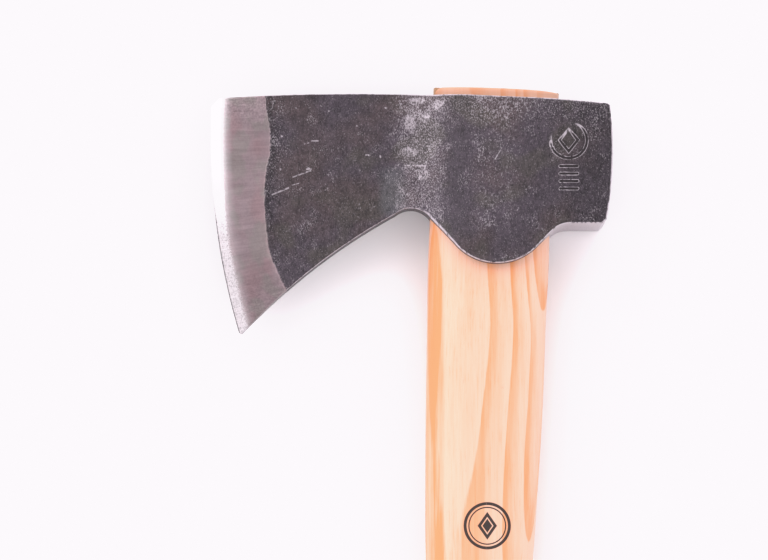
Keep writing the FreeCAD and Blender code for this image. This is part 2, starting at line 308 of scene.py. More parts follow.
def bezier(poles):
    """Cubic Bezier: the poles weighted by the Bernstein polynomials."""
    t = np.linspace(0.0, 1.0, 120)[:, None]
    a, b, c, d = (np.array(pole) for pole in poles)
    return (1 - t) ** 3 * a + 3 * (1 - t) ** 2 * t * b + 3 * (1 - t) * t**2 * c + t**3 * d


def hermite(rows, at):
    """Smooth curves through rows of (place, values...): cubic pieces with central slopes."""
    rows = np.array(rows)
    places, values = rows[:, 0], rows[:, 1:]
    slopes = np.gradient(values, places, axis=0)
    i = np.clip(np.searchsorted(places, at) - 1, 0, len(places) - 2)
    gap = (places[i + 1] - places[i])[:, None]
    t = ((at - places[i]) / gap[:, 0])[:, None]
    start = (1 + 2 * t) * (1 - t) ** 2 * values[i] + t * (1 - t) ** 2 * gap * slopes[i]
    end = t * t * (3 - 2 * t) * values[i + 1] + t * t * (t - 1) * gap * slopes[i + 1]
    return (start + end).T


def through(points):
    """Smooth curve through points of rising X: the curve of hermite, as Y of X."""
    at = np.linspace(points[0][0], points[-1][0], 300)
    return np.column_stack([at, hermite(points, at)[0]])


def spacing(runs):
    """Places from 0 to 1 whose gaps are equal within each run of (length, cells)."""
    steps = np.concatenate([np.full(cells, run / cells) for run, cells in runs])
    return np.concatenate([[0.0], np.cumsum(steps)]) / steps.sum()


def lattice(corner, seed):
    """Repeatable random height from 0 to 1 for each whole-numbered corner."""
    x, y, z = corner.T
    mixed = (x * 73856093) ^ (y * 19349663) ^ (z * 83492791) ^ (seed * 2654435761)
    mixed = ((mixed ^ (mixed >> 13)) * 1274126177) & 0xFFFFFFFF
    return ((mixed ^ (mixed >> 16)) & 0xFFFF) / 0xFFFF


def noise(points, size, seed):
    """Value noise from 0 to 1: heights on a cubic lattice, blended by smoothstep between."""
    places = points.reshape(-1, 3) / size
    base = np.floor(places).astype(np.int64)
    part = places - base
    part = part * part * (3.0 - 2.0 * part)
    total = np.zeros(len(places))
    for step in itertools.product((0, 1), repeat=3):
        weight = np.prod(np.where(step, part, 1.0 - part), axis=1)
        total += weight * lattice(base + np.array(step), seed)
    return total.reshape(points.shape[:-1])


# ---- meshes


def grid_quads(index, flip=False):
    """The quads between neighbours of a grid of vertex numbers, anticlockwise or flipped."""
    corners = (index[:-1, :-1], index[1:, :-1], index[1:, 1:], index[:-1, 1:])
    quads = np.stack(corners, axis=-1).reshape(-1, 4)
    return quads[:, ::-1] if flip else quads


def link(name, data):
    """A new object with that data, in the scene."""
    thing = bpy.data.objects.new(name, data)
    bpy.context.scene.collection.objects.link(thing)
    return thing


def new_piece(name, points, quads):
    """A mesh object at the origin, in metres, with doubled points welded."""
    mesh = bpy.data.meshes.new(name)
    mesh.from_pydata((points.reshape(-1, 3) * MM).tolist(), [], quads.tolist())
    weld(mesh)
    return link(name, mesh)


def weld(mesh):
    """Merges points that share a place and turns every face outwards."""
    shell = bmesh.new()
    shell.from_mesh(mesh)
    bmesh.ops.remove_doubles(shell, verts=shell.verts, dist=WELD_REACH)
    bmesh.ops.dissolve_degenerate(shell, edges=shell.edges, dist=WELD_REACH)
    bmesh.ops.recalc_face_normals(shell, faces=shell.faces)
    shell.to_mesh(mesh)
    shell.free()


def cut(piece, cutter):
    """Takes a closed cutter out of a closed piece, and removes the cutter."""
    tool = piece.modifiers.new("cut", "BOOLEAN")
    tool.operation, tool.solver, tool.object = "DIFFERENCE", "EXACT", cutter
    with bpy.context.temp_override(object=piece, active_object=piece):
        bpy.ops.object.modifier_apply(modifier=tool.name)
    mesh = cutter.data
    bpy.data.objects.remove(cutter)
    bpy.data.meshes.remove(mesh)


def read_points(mesh, what):
    """One vector for each point of the mesh: its place in metres, or its normal."""
    flat = np.empty(len(mesh.vertices) * 3)
    mesh.vertices.foreach_get(what, flat)
    return flat.reshape(-1, 3)


def paint(mesh, name, values):
    """Writes one number for each point, for the material to read."""
    mesh.attributes.new(name, "FLOAT", "POINT").data.foreach_set("value", values)


def finish_piece(piece, material, node):
    """Shades the piece, gives it its material and puts it in place of its CAD node."""
    piece.data.shade_smooth()
    piece.data.set_sharp_from_angle(angle=SHARP_ANGLE)
    dress(piece.data, material)
    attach(piece, "root")
    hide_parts(node)


def dress(mesh, material):
    """Gives a mesh that material and no other."""
    mesh.materials.clear()
    mesh.materials.append(material)


# ---- shader graphs


class Value:
    """A socket that can be used in sums: each operator adds one Math node."""

    def __init__(self, graph, socket):
        self.graph, self.socket = graph, socket

    def math(self, operation, *others):
        return self.graph.math(operation, self, *others)

    def __add__(self, other):
        return self.math("ADD", other)

    def __sub__(self, other):
        return self.math("SUBTRACT", other)

    def __mul__(self, other):
        return self.math("MULTIPLY", other)

    def __truediv__(self, other):
        return self.math("DIVIDE", other)

    def __rsub__(self, other):
        return self.graph.math("SUBTRACT", other, self)

    def __abs__(self):
        return self.math("ABSOLUTE")

    __radd__, __rmul__ = __add__, __mul__

    def most(self, other):
        """The greater of this and another."""
        return self.math("MAXIMUM", other)

    def step(self, low, high):
        """Smooth step from 0 at low to 1 at high, which may be the smaller."""
        settings = {"interpolation_type": "SMOOTHSTEP"}
        inputs = {"Value": self, "From Min": low, "From Max": high}
        if high < low:
            inputs.update({"From Min": high, "From Max": low, "To Min": 1.0, "To Max": 0.0})
        return self.graph.node("MapRange", settings, inputs)


class Nodes:
    """Adds nodes to one tree, which starts empty."""

    def __init__(self, owner):
        owner.use_nodes = True
        self.tree = owner.node_tree
        self.tree.nodes.clear()

    def node(self, kind, settings=None, inputs=None, output=0):
        """Adds a node. Its settings go first, then the values or links of its sockets."""
        node = self.tree.nodes.new("ShaderNode" + kind)
        for name, setting in (settings or {}).items():
            if name == "stops":
                self.set_stops(node.color_ramp, setting)
            else:
                setattr(node, name, setting)
        for name, given in (inputs or {}).items():
            if isinstance(given, Value):
                self.tree.links.new(given.socket, node.inputs[name])
            else:
                node.inputs[name].default_value = given
        return Value(self, node.outputs[output]) if node.outputs else node

    @staticmethod
    def set_stops(ramp, stops):
        while len(ramp.elements) < len(stops):
            ramp.elements.new(1.0)
        for element, (position, height) in zip(ramp.elements, stops):
            element.position = position
            element.color = (height, height, height, 1.0)

    def math(self, operation, *values, clamp=False):
        settings = {"operation": operation, "use_clamp": clamp}
        return self.node("Math", settings, dict(enumerate(values)))

    def distance(self, x, y):
        return self.math("SQRT", x * x + y * y)

    def ramp(self, value, *stops):
        """Straight lines through stops of (value, height)."""
        return self.node("ValToRGB", {"stops": stops}, {"Fac": value}, output="Color")

    def mix(self, factor, first, second):
        """Mixes two colours, given as sockets or as red, green and blue."""
        first, second = (c if isinstance(c, Value) else (*c, 1.0) for c in (first, second))
        inputs = {0: factor, 6: first, 7: second}
        return self.node("Mix", {"data_type": "RGBA"}, inputs, output=2)

    def shade(self, rgb, amount):
        """A colour made that much lighter or darker."""
        return self.node("VectorMath", {"operation": "SCALE"}, {0: rgb, "Scale": amount})

    def between(self, factor, first, second):
        """Mixes two numbers."""
        return self.node("Mix", {}, {0: factor, 2: first, 3: second})

    def vector(self, x, y, z):
        return self.node("CombineXYZ", {}, {0: x, 1: y, 2: z})

    def dot(self, first, second):
        settings = {"operation": "DOT_PRODUCT"}
        return self.node("VectorMath", settings, {0: first, 1: second}, output="Value")


class Graph(Nodes):
    """The nodes of one material, on Object coordinates in millimetres."""

    def __init__(self, name):
        self.material = bpy.data.materials.new(name)
        super().__init__(self.material)
        place = self.node("TexCoord", output="Object")
        self.place = self.shade(place, 1.0 / MM)
        self.x, self.y, self.z = (
            self.node("SeparateXYZ", {}, {0: self.place}, output=axis) for axis in "XYZ"
        )

    def noise(self, size, detail=2.0, roughness=0.5, place=None):
        """Soft noise from 0 to 1 with lumps of about that size in millimetres."""
        inputs = {"Vector": place or self.place, "Scale": 1.0 / size}
        inputs.update({"Detail": detail, "Roughness": roughness})
        return self.node("TexNoise", {}, inputs)

    def stretched(self, x, y, z, **more):
        """Noise whose lumps have these sizes along the three axes, in millimetres."""
        place = self.vector(self.x / x, self.y / y, self.z / z)
        return self.noise(1.0, place=place, **more)

    def attribute(self, name):
        return self.node("Attribute", {"attribute_name": name}, output="Fac")

    def bump(self, height, distance, strength):
        """Normal of a surface raised by height, times a distance in millimetres."""
        inputs = {"Height": height, "Distance": distance * MM, "Strength": strength}
        return self.node("Bump", {}, inputs)

    def surface(self, constants=None, **sockets):
        """Ends the graph in a Principled shader, with fixed values for some of its sockets."""
        named = {name.replace("_", " "): given for name, given in sockets.items()}
        shader = self.node("BsdfPrincipled", {}, {**(constants or {}), **named})
        self.node("OutputMaterial", {}, {"Surface": shader})
        return self.material


# ---- head


def on_edge(size, y):
    """X of the cutting edge at height y: a circle about a centre behind the head."""
    centre = size.edge_front + size.edge_radius
    return centre - np.sqrt(size.edge_radius**2 - (y - size.edge_middle) ** 2)


def behind_edge(size, x, y):
    """How far points are in from the edge: its radius less their distance from its centre."""
    centre_x = size.edge_front + size.edge_radius
    return size.edge_radius - np.hypot(x - centre_x, y - size.edge_middle)


def bottom_line(size):
    """Beard, neck, lug and underside of the poll, from the heel to the poll."""
    heel = (on_edge(size, size.heel), size.heel)
    beard_end = (heel[0] + HEEL_CLIP[0], heel[1] + HEEL_CLIP[1])
    turns = np.radians(np.linspace(*LUG_TURNS, 200))
    lug = np.column_stack([np.sin(turns), -np.cos(turns)]) * LUG_RADIUS + LUG_CENTRE
    low, middle, end = LUG_HEEL
    return np.vstack([
        [heel],
        arc(beard_end, BEARD_MIDDLE, NECK_FRONT),
        arc(NECK_FRONT, NECK_NOTCH, NECK_BACK),
        lug,
        arc(low, middle, end),
        [(POLL_BOTTOM[0] - POLL_CLIPS[1], POLL_BOTTOM[1])],
        [(POLL_BOTTOM[0], POLL_BOTTOM[1] + POLL_CLIPS[1])],
    ])


def top_line(size):
    """The clipped toe, the gentle arch over the eye and the clipped corner of the poll."""
    toe = (on_edge(size, size.toe), size.toe)
    front = (toe[0] + TOE_CLIP[0], toe[1] + TOE_CLIP[1])
    back = (POLL_TOP[0] - POLL_CLIPS[0], POLL_TOP[1])
    corner = (POLL_TOP[0], POLL_TOP[1] - POLL_CLIPS[0])
    return np.vstack([[toe], through([front, *TOP_LINE, back]), [corner]])


def along(line, fractions, axis=0):
    """Points of a line at those fractions of its reach along one axis."""
    at = line[0, axis] + (line[-1, axis] - line[0, axis]) * fractions
    return np.column_stack([np.interp(at, line[:, axis], line[:, k]) for k in (0, 1)])


def coons(bottom, top, left, right, across, up):
    """Coons patch between four side curves.

    The blend of bottom and top, plus the blend of left and right, less the blend of the four
    corners, at each pair of the two parameters.
    """
    s, t = across[:, None, None], up[None, :, None]
    rows = (1 - t) * bottom[:, None] + t * top[:, None]
    columns = (1 - s) * left[None] + s * right[None]
    low = (1 - s) * bottom[0] + s * bottom[-1]
    high = (1 - s) * top[0] + s * top[-1]
    return rows + columns - (1 - t) * low - t * high


def inside(plan, line, axis, sign):
    """How far each grid point is in from a side: along the side's own inward normal."""
    tangent = np.gradient(line, axis=0)
    tangent /= np.linalg.norm(tangent, axis=1)[:, None]
    normal = sign * np.column_stack([-tangent[:, 1], tangent[:, 0]])
    line, normal = (np.expand_dims(part, axis) for part in (line, normal))
    return np.sum((plan - line) * normal, axis=-1)


def half_plan(size, x):
    """Half the head's width along X: forged taper, hollow neck, round cheek, flat cheek."""
    half = size.cheek_width / 2.0
    run, drop = FLAT_X - SWELL_X, half - SWELL_HALF
    radius = (run**2 + drop**2) / (2.0 * drop)
    slope, neck_slope = run / math.sqrt(radius**2 - run**2), math.tan(math.radians(NECK_SLOPE))
    reach = 0.45 * (SWELL_X - NECK_X)
    neck_half = size.neck_thickness / 2.0
    hollow = bezier([
        (NECK_X, neck_half),
        (NECK_X + reach, neck_half + reach * neck_slope),
        (SWELL_X - reach, SWELL_HALF - reach * slope),
        (SWELL_X, SWELL_HALF),
    ])
    turns = np.linspace(-math.atan(slope), 0.0, 120)
    cheek = np.column_stack([np.sin(turns), np.cos(turns) - 1.0]) * radius + (FLAT_X, half)
    start = (size.edge_front + size.ground_width, FORGED_HALF)
    profile = np.vstack([[start], hollow, cheek, [(size.poll_back, half)]])
    behind = np.clip((x - FLAT_X) / (size.poll_back - FLAT_X), 0.0, 1.0)
    return np.interp(x, *profile.T) - size.crown * behind**2


def band_width(y):
    """Width of the ground band at each height, smooth through its rows."""
    return hermite(BAND_WIDTHS, np.ravel(y))[0].reshape(np.shape(y))


def lesser(first, second, softness):
    """The smaller of two, rounded where they cross.

    Half of their sum less the root of the squares of their gap and of the softness.
    """
    return (first + second - np.sqrt((first - second) ** 2 + softness**2)) / 2.0


def half_bevel(size, rim, width):
    """Half the blade's thickness at a distance in from the edge.

    The smaller of two slopes, with a rubbed turn between them: one across the honed bevel, and
    one across the ground band, which reaches the forged taper at the band's own width. A steep
    slope follows, which leaves the blade to its forged thickness.
    """
    edge, honed = size.edge_thickness / 2.0, size.honed_thickness / 2.0
    forged_half = FORGED_HALF + FORGED_TAPER * (width - size.ground_width)
    bevel = edge + (honed - edge) * rim / size.honed_width
    share = (rim - size.honed_width) / (width - size.honed_width)
    ground = honed + (forged_half - honed) * share
    slopes = lesser(bevel, ground, BEVEL_SOFTNESS)
    return np.where(rim < width, slopes, forged_half + RELEASE_SLOPE * (rim - width))


def eased(distance, radius):
    """How far a quarter-round rim falls below its face, at a distance in from its side."""
    short = np.clip(radius - distance, 0.0, radius)
    return radius - np.sqrt(radius**2 - short**2)


def stamp(x, y):
    """Struck mark, from 0 to 1: near a ring, a diamond's outline, or one of the bars.

    The ring is the distance from its centre less its radius, the diamond the same with the sum
    of the two offsets, and each bar is the distance from a short level line.
    """
    across, up = x - STAMP_CENTRE[0], y - STAMP_CENTRE[1]
    lines = [
        abs(np.hypot(across, up) - STAMP_RADIUS),
        abs(abs(across) + abs(up) * 0.8 - 0.5 * STAMP_RADIUS) * 0.75,
    ]
    for bar_x, bar_y in STAMP_BARS:
        past = np.clip(abs(x - bar_x) - STAMP_BAR_REACH, 0.0, None)
        lines.append(np.hypot(past, y - bar_y))
    nearest = np.minimum.reduce(lines)
    return 1.0 - smoothstep(0.5 * STAMP_LINE, 1.6 * STAMP_LINE, nearest)


def struck_depth(x, y):
    """The stamp with its blow uneven: deepest low on the right, faint in its top left."""
    lean = (x - STAMP_CENTRE[0]) * 0.5 - (y - STAMP_CENTRE[1])
    return stamp(x, y) * (0.12 + 0.88 * smoothstep(-6.0, 2.0, lean))


def forged(size, plan, rim, seed):
    """How far the hammered and pitted surface lies under the true one, at each grid point.

    Broad facets are value noise. Pits are finer noise cut off below a threshold. Both fade out
    on the ground band.
    """
    place = np.concatenate([plan, np.zeros_like(plan[..., :1])], axis=-1)
    broad, small = FACET_SIZES
    facets = noise(place, broad, seed) * 0.6 + noise(place, small, seed + 1) * 0.4
    pits = smoothstep(0.60, 0.85, noise(place, PIT_SIZE, seed + 2))
    patches = smoothstep(0.40, 0.70, noise(place, PATCH_SIZE, seed + 3))
    neck = smoothstep(NECK_X - 8.0, NECK_X + 2.0, plan[..., 0])
    neck = neck * (1.0 - smoothstep(FLAT_X - 12.0, FLAT_X - 2.0, plan[..., 0]))
    depth = size.hammer_depth * facets + size.pit_depth * pits * (0.35 + patches + neck)
    past = rim - band_width(plan[..., 1])
    return depth * (0.05 + 0.95 * smoothstep(-0.3, 3.0, past))


def head_shell(size):
    """The closed forging before its eye is cut: two cheeks and the narrow faces between them.

    Each cheek is a Coons patch of the side view, lifted from the middle plane by half the
    thickness: the smaller of the plan's and the bevel's, less the eased rims and the hammered
    relief. The narrow faces are rows of points straight between the cheeks' outlines.
    """
    across, up = spacing(COLUMN_RUNS), spacing(ROW_RUNS)
    bottom, top = along(bottom_line(size), across), along(top_line(size), across)
    edge_y = size.heel + (size.toe - size.heel) * up
    edge = np.column_stack([on_edge(size, edge_y), edge_y])
    poll_arc = arc(bottom[-1], (size.poll_back, POLL_LINE_Y), top[-1])
    poll = along(poll_arc, up, axis=1)
    plan = coons(bottom, top, edge, poll, across, up)
    x, y = plan[..., 0], plan[..., 1]

    rim = behind_edge(size, x, y)
    half = lesser(half_plan(size, x), half_bevel(size, rim, band_width(y)), CHEEK_SOFTNESS)
    half = np.maximum(half, size.edge_thickness / 2.0)
    radius = size.rim_round * (0.4 + 0.6 * smoothstep(NECK_X, SWELL_X, x))
    radius = np.minimum(radius, 0.6 * half)
    sides = (
        inside(plan, bottom, 1, 1.0), inside(plan, top, 1, -1.0), inside(plan, poll, 0, 1.0)
    )
    half = half - np.maximum.reduce([eased(side, radius) for side in sides])

    struck = size.stamp_depth * struck_depth(x, y)
    crisp = smoothstep(0.2, 2.2, np.minimum.reduce(sides))
    above, below = (forged(size, plan, rim, seed) * crisp for seed in CHEEK_SEEDS)
    upper = MID_Z + half - above - struck
    lower = MID_Z - half + below

    columns, rows = x.shape
    index = np.arange(columns * rows).reshape(columns, rows)
    ring = np.concatenate([index[:-1, 0], index[-1, :-1], index[:0:-1, -1], index[0, :0:-1]])
    cheeks = [np.dstack([plan, z]).reshape(-1, 3) for z in (upper, lower)]
    share = np.linspace(0.0, 1.0, RIM_ROWS)[1:-1, None, None]
    between = (1 - share) * cheeks[0][ring] + share * cheeks[1][ring]
    points = np.vstack([*cheeks, between.reshape(-1, 3)])

    offset = index.size
    middle = 2 * offset + np.arange(between.shape[0] * len(ring)).reshape(-1, len(ring))
    band = np.vstack([ring, middle, ring + offset])
    band = np.column_stack([band, band[:, 0]])
    quads = [grid_quads(index), grid_quads(index + offset, flip=True), grid_quads(band)]
    return points, np.vstack(quads)


def on_upper(g, reach=0.5):
    """1 on the upper cheek and 0 below the middle plane."""
    return g.z.step(MID_Z, MID_Z + reach)


def scratches(g):
    """Fine bright scratches on the upper cheek, broken along their length.

    Each is the distance from a short straight line, within its half width.
    """
    found = 0.0
    for start_x, start_y, end_x, end_y, width in SCRATCHES:
        run_x, run_y = end_x - start_x, end_y - start_y
        reach = run_x**2 + run_y**2
        from_x, from_y = g.x - start_x, g.y - start_y
        share = g.math("ADD", from_x * (run_x / reach) + from_y * (run_y / reach), 0.0, clamp=True)
        away = g.distance(from_x - share * run_x, from_y - share * run_y)
        found = away.step(width, width * 0.3).most(found)
    return found * g.noise(0.9, 3.0).step(0.38, 0.50) * on_upper(g)


def bright_chips(g):
    """Places on the upper cheek where the scale has flaked off: ragged ellipses."""
    found = 0.0
    ragged = (g.noise(2.4, 5.0, 0.8) - 0.5) * 4.4
    for centre_x, centre_y, half_x, half_y, raggedness in CHIPS:
        away = g.distance((g.x - centre_x) / half_x, (g.y - centre_y) / half_y)
        found = (away + ragged * raggedness).step(1.05, 0.75).most(found)
    return found * on_upper(g)


def head_fields(g, size):
    """Places, grains and masks that the finishes of the head share.

    The distance in from the edge is the edge's radius less the distance from its centre. The
    place along the edge is the turn about that centre times the radius.
    """
    from_x, from_y = size.edge_front + size.edge_radius - g.x, g.y - size.edge_middle
    rim = size.edge_radius - g.distance(from_x, from_y)
    along_edge = g.math("ARCTAN2", from_y, from_x) * size.edge_radius
    past_border = g.attribute("past_border") + (g.noise(1.4, 4.0, 0.65) - 0.5) * 1.5
    return SimpleNamespace(
        rim=rim,
        past_border=past_border,
        bare_band=past_border.step(0.35, -0.35),
        narrow=g.attribute("narrow"),
        struck=g.attribute("struck"),
        lines=g.noise(1.0, 3.0, 0.6, g.vector(rim / 7.0, along_edge / 0.24, g.z / 9.0)),
        broad_lines=g.noise(1.0, place=g.vector(rim / 14.0, along_edge / 1.3, g.z / 16.0)),
        mottle=g.noise(4.5, 3.0, 0.6),
        coarse=g.stretched(1.1, 2.4, 1.1, detail=3.0),
        grain=g.stretched(0.52, 0.90, 0.52, detail=3.0, roughness=0.65),
    )


def forge_scale(g, on, colours):
    """Colour of the forge scale, how bright its bare spots are, and how dark its dark ones.

    Broad tints and mottling lie under a grain of flecks that run along the haft. More is worn off
    at the neck, over the eye, along the crest and beside the ground band. Painted light and shade
    make the neck and the eye lighter and the poll darker. The struck mark is painted dark in its
    floor as painted shade and bright on its lips as painted highlight, and arrises are rubbed
    bright, partly as painted highlight.
    """
    tint = g.noise(20.0, place=g.vector(g.x + 12.0, g.y, g.z))
    olive = g.noise(15.0, 1.0, place=g.vector(g.x, g.y - 40.0, g.z)).step(0.54, 0.66)
    scale = g.mix(tint.step(0.36, 0.64), colours.scale_colour, colours.scale_warm)
    scale = g.mix(olive * 0.6, scale, OLIVE_SCALE)
    smear = g.distance((g.x + 34.0) / 6.0, (g.y + 5.0) / 8.0) + (tint - 0.5) * 2.0
    scale = g.mix(smear.step(1.2, 0.5) * 0.6, scale, SMEARED_SCALE)

    neck = g.x.step(-38.0, -29.0) * g.x.step(-12.0, -20.0)
    eye = g.x.step(-9.0, -5.0) * g.x.step(12.0, 6.0) * g.y.step(-22.0, -14.0)
    poll = g.x.step(16.0, 34.0)
    crest = g.y.step(14.0, 24.0) * g.x.step(-20.0, -14.0)
    by_border = on.past_border.step(9.0, 1.0) * g.y.step(-30.0, 4.0)
    cluster = g.noise(6.5, 3.0, 0.6).step(0.54, 0.66)
    worn = 0.08 + neck * 0.52 + eye * 0.20 + crest * 0.34 + by_border * 0.26 + on.mottle * 0.20
    worn = worn + cluster * 0.34
    shade = 0.44 + on.mottle * 0.74 + (on.coarse - 0.5) + (on.grain - 0.5) * (1.3 + worn * 1.4)
    # Painted light and shade: the neck and the eye are made lighter and the poll darker, as light
    # from the left falls on them.
    shade = shade + neck * 0.30 + eye * 0.16 - poll * 0.26
    shade = shade - on.past_border.step(4.5, 0.8) * g.y.step(-34.0, -6.0) * 0.32
    scale = g.shade(scale, shade.most(0.16))

    specks = g.stretched(0.36, 0.60, 0.36, roughness=0.7)
    flecks = (specks + worn * 0.17).step(0.620, 0.73)
    flakes = (g.noise(2.0, 5.0, 0.75) + neck * 0.075 + crest * 0.03).step(0.665, 0.72)
    dark = (g.noise(0.8, 3.0, 0.7) + worn * 0.05).step(0.60, 0.70)
    bright = (flecks * (0.22 + worn * 0.60)).most(flakes * 0.42)
    scale = g.mix(bright, g.shade(scale, 1.0 - dark * 0.5), FLECK)
    chips = bright_chips(g) * on.grain.step(0.34, 0.60)
    marks = (chips * (0.35 + on.mottle)).most(scratches(g) * (0.2 + on.coarse))
    scale = g.mix(marks, scale, SCRATCH)

    # Painted shade in the struck mark's floor and painted highlight on its lips.
    lit_lips = on.struck.step(0.10, 0.32) * on.struck.step(0.62, 0.40)
    scale = g.mix(on.struck.step(0.40, 0.70) * 0.85, scale, STAMP_SHADE)
    scale = g.mix(lit_lips * on.coarse.step(0.32, 0.50) * 0.75, scale, STAMP_HIGHLIGHT)
    # Arrises are rubbed bright steel, partly painted highlight along the rims.
    worn_and_lit_arris = on.narrow.step(0.15, 0.38) * on.coarse.step(0.34, 0.54)
    return g.mix(worn_and_lit_arris * 0.9, scale, ARRIS_WEAR_AND_HIGHLIGHT), bright.most(marks), dark


def ground_steel(g, on, size, colours):
    """Colour of the ground band and the honed bevel, and how honed each place is.

    The band is rosy steel with scratches drawn square to the edge, and is speckled near its ends.
    The bevel is painted darker towards the heel as painted shade, and there it has specks and a
    painted line of shade along its very edge.
    """
    speckled = 0.15 + g.y.step(15.0, 26.0) + g.y.step(-30.0, -42.0) * 0.6
    speckle = speckled * (g.noise(0.7, 3.0, 0.7) - 0.5)
    rosy = g.noise(9.0, place=g.vector(on.rim, g.y * 0.6, g.z)).step(0.36, 0.66)
    dull = g.noise(6.0, place=g.vector(on.rim + 31.0, g.y * 0.8, g.z)).step(0.44, 0.60)
    ground = g.mix(rosy * 0.8, colours.ground_colour, colours.rosy_colour)
    ground = g.mix(dull * 0.8, ground, DULL_GROUND)
    shade = 0.74 + on.lines * 0.30 + (on.broad_lines - 0.5) * 0.46 + speckle * 1.3
    shade = shade + (on.grain - 0.5) * 0.30 + (on.mottle - 0.5) * 0.30
    ground = g.shade(ground, shade + on.past_border.step(-5.5, -1.0) * 0.08)

    # Painted shade: the honed bevel is darker towards the heel, with a painted dark line of shade
    # along its very edge there.
    low = g.y.step(8.0, -22.0)
    specks_and_edge_shade = on.grain.step(0.45, 0.70) * 0.28 + on.rim.step(0.55, 0.15) * 0.6
    bevel = g.mix(low, colours.honed_colour, SHADED_HONED)
    bevel = g.shade(bevel, 1.0 - low * specks_and_edge_shade + low * (on.lines - 0.5) * 0.5)
    from_edge = on.rim + (on.lines - 0.5) * 1.4 + (on.grain - 0.5) * 1.6
    share = from_edge / (size.honed_width * 1.6)
    honed = g.ramp(share, (0.38, 1.0), (0.54, 0.32), (0.72, 0.12), (0.95, 0.0))
    return g.mix(honed, ground, bevel), honed


def narrow_faces(g, on):
    """Colour of the narrow faces, and where they keep their forge scale.

    Top and poll are ground along the haft. The undersides of the beard and the lugs are black.
    """
    steel = g.mix(g.stretched(0.5, 6.0, 0.4, detail=3.0), DARK_RIM, PALE_RIM)
    under = (g.x + (on.mottle - 0.5) * 7.0).step(21.0, 17.0) * g.y.step(20.0, 10.0)
    forged_face = under * on.narrow.step(0.70, 0.86)
    steel = g.shade(steel, 1.0 - g.y.step(20.0, 25.0) * on.narrow.step(0.7, 0.9) * 0.35)
    return g.mix(forged_face, steel, FORGED_FACE), forged_face


def head_finish(size, colours):
    """Forge scale, ground band, honed bevel and bare narrow faces, one over the other."""
    g = Graph("forged_steel")
    on = head_fields(g, size)
    scale, bright, dark = forge_scale(g, on, colours)
    bright_steel, honed = ground_steel(g, on, size, colours)
    rim_steel, forged_face = narrow_faces(g, on)
    bare_rim = (on.narrow + (on.mottle - 0.5) * 0.25).step(0.45, 0.75)
    steel = g.mix(on.bare_band, scale, bright_steel)
    steel = g.mix(bare_rim * (1.0 - on.bare_band * 0.6), steel, rim_steel)

    bare = on.bare_band.most(bare_rim * (1.0 - forged_face * 0.8))
    rough = 0.50 + (on.mottle - 0.5) * 0.25 - bright * 0.2
    rough = g.between(bare, rough, 0.38 + (on.lines - 0.5) * 0.2)
    fine = g.noise(0.8, 5.0, 0.7)
    relief = (fine * 1.1 + on.coarse * 0.8 - dark * 0.5 + bright * 0.4) * (1.0 - bare)
    relief = relief + on.lines * bare * 0.12 + on.past_border.step(-0.3, 0.5) * 0.6
    return g.surface(
        {"IOR": 1.5, "Specular IOR Level": 0.3},
        Base_Color=steel,
        Metallic=(0.2 + bright * 0.8).most(bare),
        Roughness=g.between(honed * on.bare_band, rough, 0.18),
        Normal=g.bump(relief, 0.12, 0.9),
    )


def build_head(settings):
    """The forged head, with its eye cut a shadow line wider than the haft.

    Its material reads three numbers at each point: how far it is past the ground band's border,
    how narrow a face it is on, and how deep the mark is struck.
    """
    size = in_millimetres(settings)
    head = new_piece("head_forged", *head_shell(size))
    rows = np.linspace(*EYE_ROWS)
    cut(head, new_piece("eye_cutter", *closed_sweep(rows, grow=size.eye_gap, around=EYE_AROUND)))
    mesh = head.data
    x, y, z = (read_points(mesh, "co") / MM).T
    rim, width = behind_edge(size, x, y), band_width(y)
    cheek = np.minimum(half_plan(size, x), half_bevel(size, rim, width))
    between = abs(z - MID_Z) < np.minimum(0.8 * cheek, cheek - 1.4 * size.rim_round)
    upright = abs(read_points(mesh, "normal")[:, 2])
    paint(mesh, "past_border", rim - width)
    paint(mesh, "narrow", np.where(between, 1.0, 1.0 - upright))
    paint(mesh, "struck", struck_depth(x, y) * (z > MID_Z))
    finish_piece(head, head_finish(size, settings), "head")


# ---- haft


def haft_section(rows, around, inset):
    """Points of the haft's surface: a row of sections by an angle around each.

    A section is a superellipse: cosine and sine raised to a power, with their signs kept, times
    the half width and half thickness, less the inset. It is a little thinner at its front.
    """
    front, back, thick = hermite(HAFT_STATIONS, rows)
    turns = np.linspace(0.0, 2.0 * math.pi, around, endpoint=False)
    power = 2.0 / SECTION_POWER
    across = np.sign(np.cos(turns)) * abs(np.cos(turns)) ** power
    up = np.sign(np.sin(turns)) * abs(np.sin(turns)) ** power * (1.0 + SECTION_EGG * across)
    reach, half = (back - front) / 2.0 - inset, thick / 2.0 - inset
    x = ((front + back) / 2.0)[:, None] + reach[:, None] * across
    z = MID_Z + half[:, None] * up
    return np.dstack([x, np.broadcast_to(rows[:, None], x.shape), z])


def shrunk(section, shares):
    """Copies of one section drawn in to its middle, by each share of its size."""
    centre = section.mean(axis=0)
    return centre + (section - centre) * np.asarray(shares)[:, None, None]


def closed_skin(skin):
    """Quads of rows of points that close around, with a pole at each end."""
    rows, around = skin.shape[:2]
    index = np.arange(rows * around).reshape(rows, around)
    index = np.column_stack([index, index[:, 0]])
    return skin, grid_quads(index)


def closed_sweep(rows, grow, around):
    """The haft's sections along those rows, grown all round, with flat closed ends."""
    skin = haft_section(rows, around, -grow)
    ends = (0.0, 0.5)
    skin = np.concatenate([shrunk(skin[0], ends), skin, shrunk(skin[-1], ends[::-1])])
    return closed_skin(skin)


